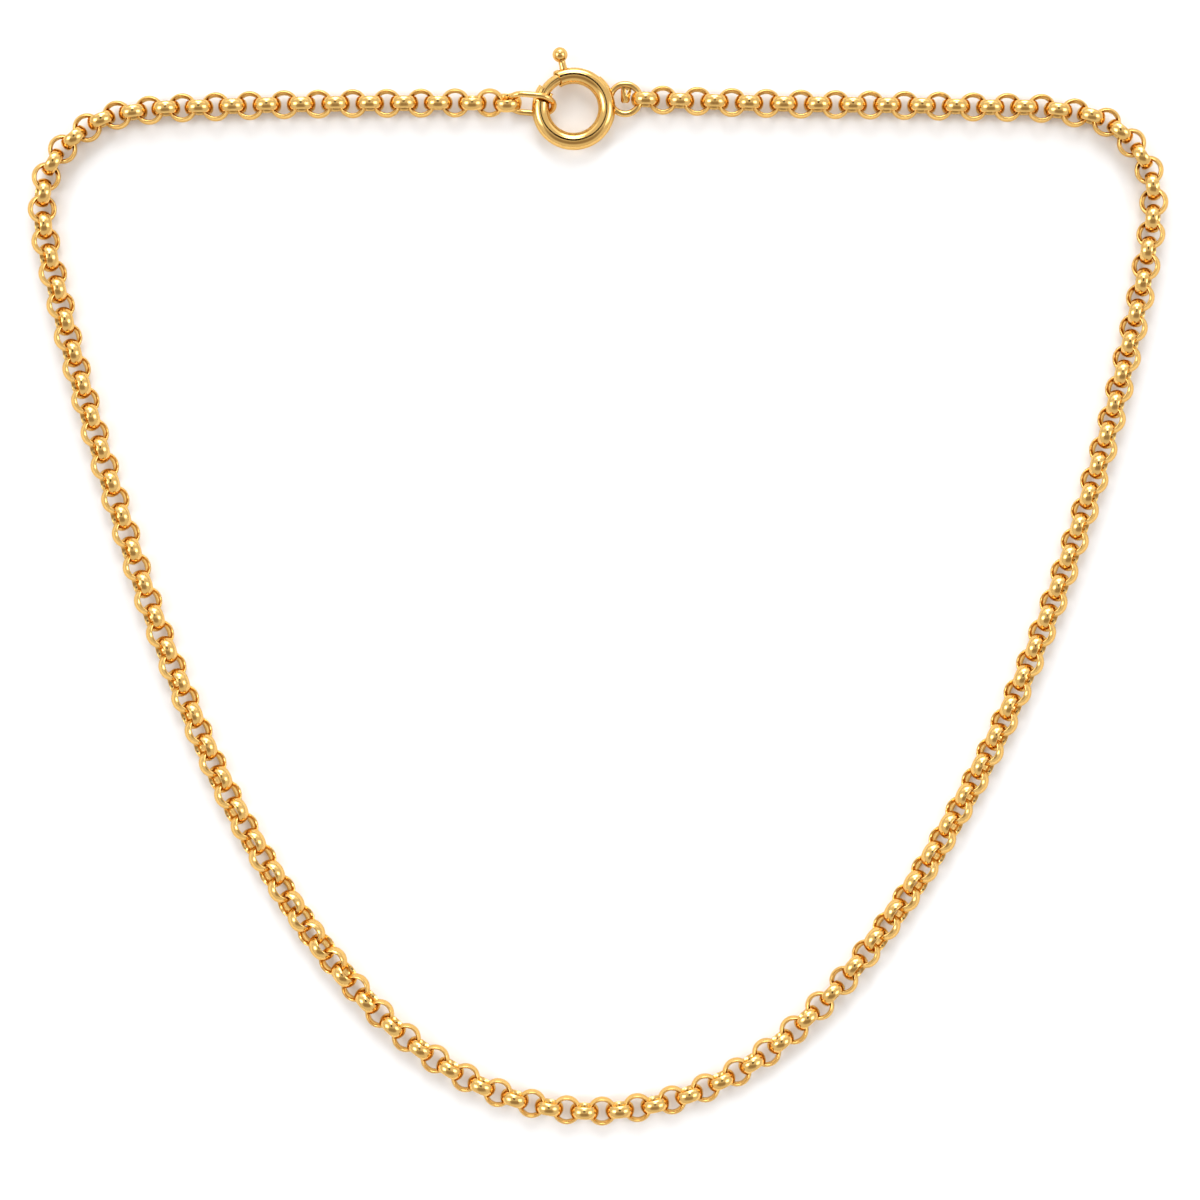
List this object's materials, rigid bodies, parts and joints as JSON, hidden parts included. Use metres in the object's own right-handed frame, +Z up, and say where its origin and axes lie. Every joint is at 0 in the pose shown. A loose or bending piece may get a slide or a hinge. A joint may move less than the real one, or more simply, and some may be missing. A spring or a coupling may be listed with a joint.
{
  "type": "rolo chain necklace",
  "caption": "Open loop of interlocked round broad-banded rolo links, laid flat and closed at the back by a sprung bolt ring with a thumb knob and an oval jump ring.",
  "frame": {"origin": "middle of the laid necklace's box, on the surface it lies on", "axes": "+Z up from the surface, +X along the loop's greatest width, +Y toward the clasp at the back of the loop"},
  "size_m": [0.164, 0.1551, 0.0047],
  "materials": {
    "chain_metal": "polished yellow gold alloy",
    "ring_metal": "polished yellow gold alloy",
    "clasp_metal": "polished yellow gold alloy",
    "bolt_metal": "polished yellow gold alloy"
  },
  "bodies": {
    "necklace": {"chain": "chain_metal", "jump_ring": "ring_metal", "clasp_body": "clasp_metal"},
    "bolt": {"clasp_bolt": "bolt_metal"}
  },
  "joints": [
    {"name": "bolt_slide", "type": "hinge", "parent": "necklace", "child": "bolt", "pos_m": [-0.0035, 0.0687, 0.00235], "axis": [0, 0, -1], "range_deg": [0, 46], "stiffness_Nm_per_rad": 0.001, "springref_deg": -28.65}
  ]
}
